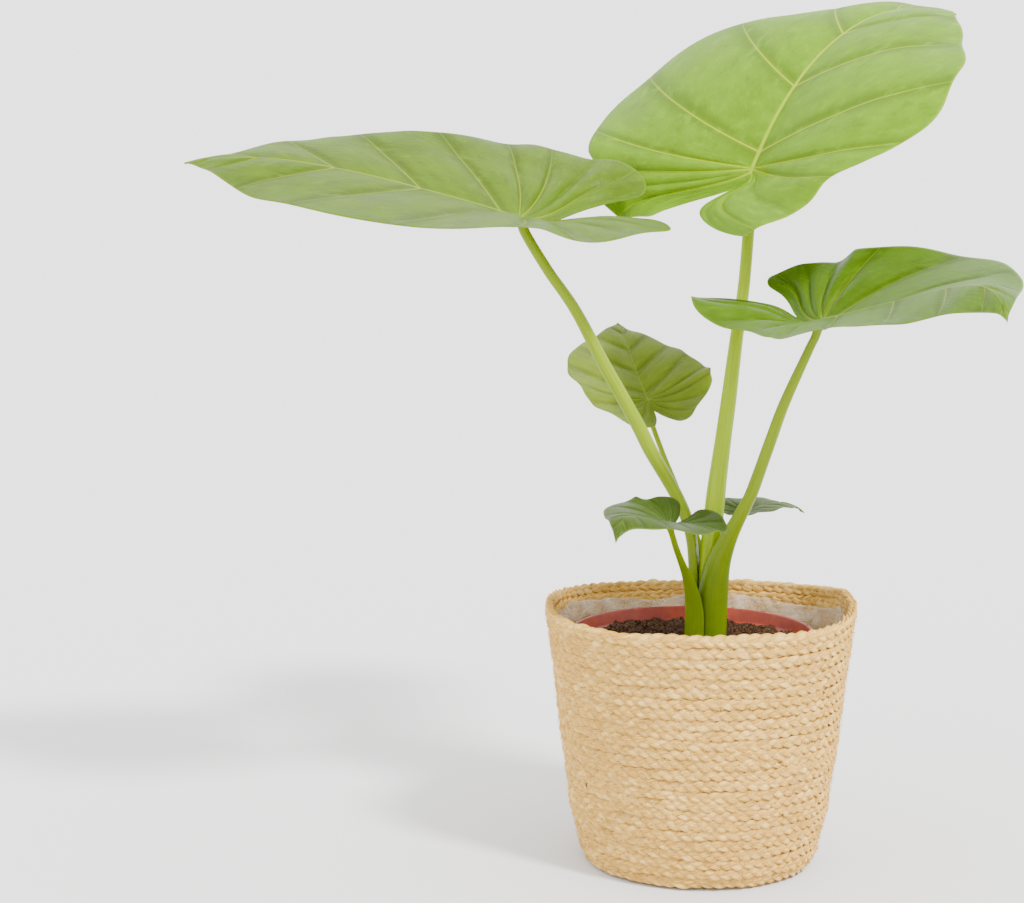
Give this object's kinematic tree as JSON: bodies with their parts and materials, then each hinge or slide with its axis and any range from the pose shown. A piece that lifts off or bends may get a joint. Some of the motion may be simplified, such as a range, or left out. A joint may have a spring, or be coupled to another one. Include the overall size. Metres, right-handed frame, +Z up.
{
  "type": "potted taro plant",
  "caption": "Giant taro with broad arrow-shaped leaves on sheathed stalks, in a nursery pot of soil inside a lined basket of plaited straw",
  "frame": {"origin": "Middle of the basket's flat underside", "axes": "+Z up, -Y the front that the picture shows, +X to its right. The long left leaf points to -X"},
  "size_m": [0.6278, 0.4379, 0.6875],
  "materials": {
    "straw": "dry plaited straw braid, matt, with ochre and brown flecks",
    "liner_film": "clear creased plastic film",
    "pot_plastic": "terracotta-coloured plastic, satin",
    "soil_mix": "dark crumbly potting mix",
    "corm_skin": "brown fibrous skin, buried",
    "leaf_olive": "waxy leaf, olive green with a pale sheen",
    "leaf_lime": "waxy leaf, bright lime green",
    "leaf_mid": "waxy leaf, mid green",
    "leaf_grey": "waxy leaf, grey green",
    "stalk": "smooth juicy yellow-green leaf stalk"
  },
  "bodies": {
    "root": {"basket": "straw", "liner": "liner_film", "nursery_pot": "pot_plastic", "soil": "soil_mix", "corm": "corm_skin", "blade_left": "leaf_olive", "blade_top": "leaf_lime", "blade_right": "leaf_mid", "blade_back": "leaf_grey", "blade_front": "leaf_grey", "blade_low_back": "leaf_grey", "petiole_left": "stalk", "petiole_top": "stalk", "petiole_right": "stalk", "petiole_back": "stalk", "petiole_front": "stalk", "petiole_low_back": "stalk"}
  },
  "joints": []
}
